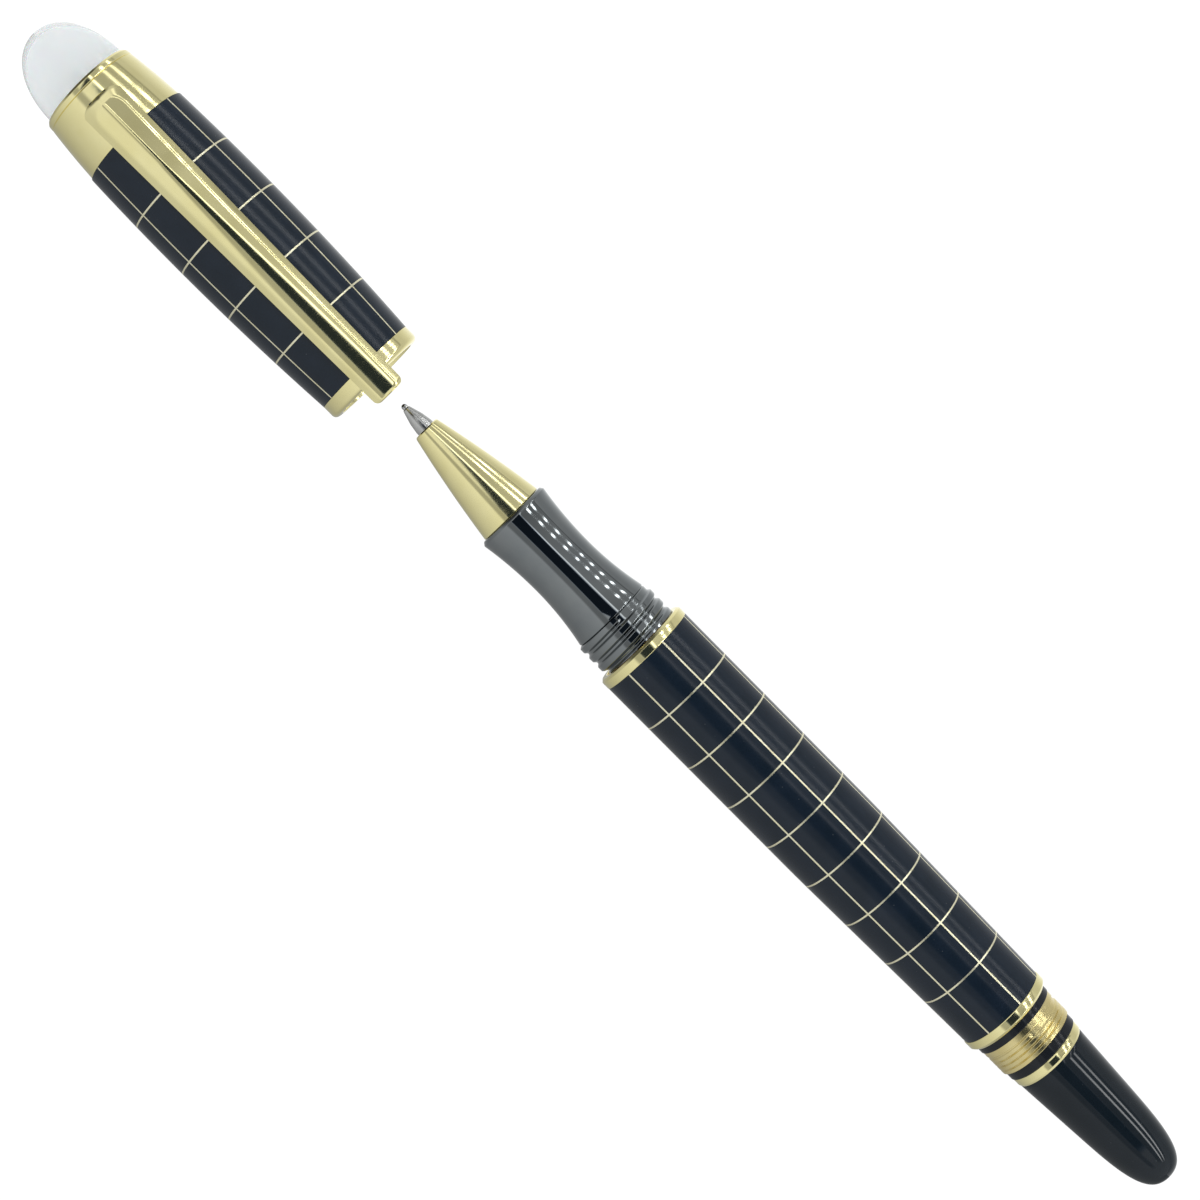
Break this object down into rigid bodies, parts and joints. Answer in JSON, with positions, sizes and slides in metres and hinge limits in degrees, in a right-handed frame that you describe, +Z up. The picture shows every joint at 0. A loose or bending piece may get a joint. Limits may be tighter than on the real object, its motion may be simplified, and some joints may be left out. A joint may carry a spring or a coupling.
{
  "type": "rollerball pen",
  "caption": "Capped rollerball pen with a gridded lacquer cap and barrel, gilt clip, waisted metal grip and domed crown, its cap drawn off in line.",
  "frame": {"origin": "middle of the length and width of the pen with its cap drawn off, on the plane that the cap rests on", "axes": "+X along the pen from the crown to the tail, +Y across it, +Z up through the pocket clip"},
  "size_m": [0.1816, 0.0142, 0.0156],
  "materials": {
    "gold_plate": "polished pale gold plate",
    "gold_inlay": "polished gold line filled flush with the lacquer",
    "gunmetal": "polished dark grey plating",
    "brass": "bare machined brass",
    "tip_steel": "turned stainless steel",
    "carbide": "polished ball",
    "spring_steel": "bright steel",
    "black_lacquer": "high gloss black lacquer on brass",
    "black_plastic": "gloss",
    "black_resin": "high gloss",
    "refill_plastic": "moulded",
    "pale_plastic": "moulded",
    "ink_fibre": "inked fibre",
    "clear_acrylic": "polished clear acrylic",
    "frosted_acrylic": "pale translucent"
  },
  "bodies": {
    "section": {"nose_cone": "gold_plate", "section_grip": "gunmetal", "cap_thread_collar": "gunmetal", "section_core": "brass"},
    "refill": {"refill_tube": "refill_plastic", "tip_holder": "refill_plastic", "writing_tip": "tip_steel", "ink_wick": "ink_fibre", "ink_reservoir": "ink_fibre", "refill_plug": "refill_plastic"},
    "ball": {"writing_ball": "carbide"},
    "spring": {"spring_seat": "pale_plastic", "refill_spring": "spring_steel"},
    "barrel": {"barrel_tube": "black_lacquer", "barrel_grid": "gold_inlay", "front_ring": "gold_plate", "barrel_bush": "brass", "rear_ring": "gold_plate", "front_spacer": "black_plastic", "posting_thread": "gold_plate", "rear_spacer": "black_plastic", "tail_ring": "gold_plate", "tail_stud": "brass", "tail_cone": "black_resin"},
    "cap_liner": {"inner_cap": "pale_plastic"},
    "cap": {"cap_tube": "black_lacquer", "cap_grid": "gold_inlay", "lip_ring": "gold_plate", "cap_bush": "brass", "clip_collar": "gold_plate", "crown_bezel": "gold_plate", "crown_dome": "clear_acrylic", "dome_core": "frosted_acrylic", "crown_stud": "spring_steel", "crown_nut": "spring_steel"},
    "clip": {"clip": "gold_plate"}
  },
  "joints": [
    {"name": "refill_pull", "type": "slide", "parent": "section", "child": "refill", "axis": [1, 0, 0], "range_m": [0, 0.055]},
    {"name": "ball_spin", "type": "hinge", "parent": "refill", "child": "ball", "pos_m": [-0.0329, 0, 0.00712], "axis": [0, 1, 0], "continuous": true},
    {"name": "barrel_pull", "type": "slide", "parent": "refill", "child": "spring", "axis": [1, 0, 0], "range_m": [0, 0.075]},
    {"name": "barrel_turn", "type": "hinge", "parent": "spring", "child": "barrel", "pos_m": [0.00445, 0, 0.00712], "axis": [1, 0, 0], "continuous": true},
    {"name": "cap_pull", "type": "slide", "parent": "section", "child": "cap_liner", "axis": [1, 0, 0], "range_m": [-0.03, 0.0416]},
    {"name": "cap_turn", "type": "hinge", "parent": "cap_liner", "child": "cap", "pos_m": [-0.03725, 0, 0.00712], "axis": [1, 0, 0], "continuous": true},
    {"name": "clip_flex", "type": "hinge", "parent": "cap", "child": "clip", "pos_m": [-0.0796, 0, 0.01332], "axis": [0, -1, 0], "range_deg": [0, 3], "stiffness_Nm_per_rad": 0.5, "springref_deg": -1.72}
  ]
}
